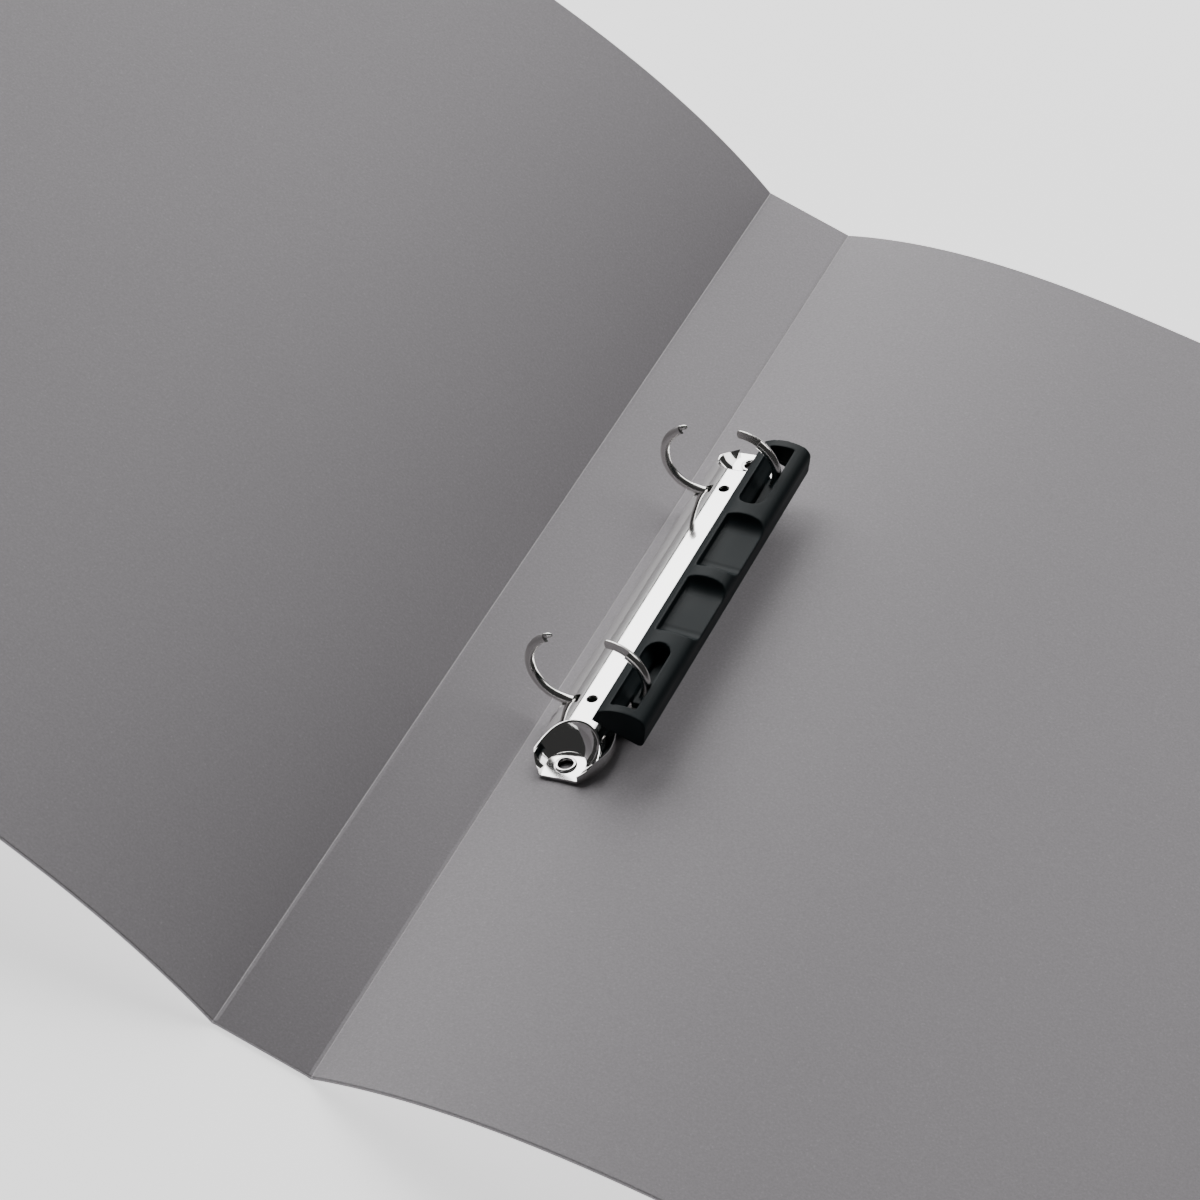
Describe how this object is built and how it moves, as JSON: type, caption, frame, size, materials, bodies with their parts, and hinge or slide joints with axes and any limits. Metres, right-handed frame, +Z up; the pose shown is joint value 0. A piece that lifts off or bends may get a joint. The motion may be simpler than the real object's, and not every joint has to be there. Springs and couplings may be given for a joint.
{
  "type": "two-ring binder",
  "caption": "Open plastic ring binder: creased cover sheet with two swinging covers and a riveted ring mechanism whose half rings open together with a grip bar.",
  "frame": {"origin": "middle of the spine's underside, on the surface it rests on", "axes": "+Y along the folds towards the top edge, +X across towards the back cover that carries the rings, +Z up"},
  "size_m": [0.4901, 0.318, 0.0438],
  "materials": {
    "cover_sheet": "finely grained matt polypropylene sheet",
    "bright_plate": "bright nickel-plated pressed steel",
    "ring_wire": "bright nickel-plated wire",
    "blade_steel": "plain spring steel strip",
    "black_moulding": "satin injection-moulded plastic"
  },
  "bodies": {
    "spine": {"spine_panel": "cover_sheet"},
    "front_cover": {"front_cover": "cover_sheet"},
    "back_cover": {"back_cover": "cover_sheet", "ring_housing": "bright_plate", "rivet_front": "bright_plate", "rivet_rear": "bright_plate"},
    "left_jaw": {"blade_left": "blade_steel", "ring_left_front": "ring_wire", "ring_left_rear": "ring_wire"},
    "right_jaw": {"blade_right": "blade_steel", "ring_right_front": "ring_wire", "ring_right_rear": "ring_wire", "grip_bar": "black_moulding"}
  },
  "joints": [
    {"name": "front_fold", "type": "hinge", "parent": "spine", "child": "front_cover", "pos_m": [-0.0119, 0, 0.00015], "axis": [0, 1, 0], "range_deg": [-10, 60]},
    {"name": "back_fold", "type": "hinge", "parent": "spine", "child": "back_cover", "pos_m": [0.0119, 0, 0.00015], "axis": [0, -1, 0], "range_deg": [-9.5, 46]},
    {"name": "right_jaw_swing", "type": "hinge", "parent": "back_cover", "child": "right_jaw", "pos_m": [0.02889, 0, 0.01208], "axis": [0, -1, 0], "range_deg": [0, 25.3]},
    {"name": "left_jaw_swing", "type": "hinge", "parent": "back_cover", "child": "left_jaw", "pos_m": [0.01544, 0, 0.00544], "axis": [0, 1, 0], "range_deg": [0, 25.3]}
  ],
  "couplings": [
    {"joint": "left_jaw_swing", "follows": "right_jaw_swing", "ratio": 1}
  ]
}
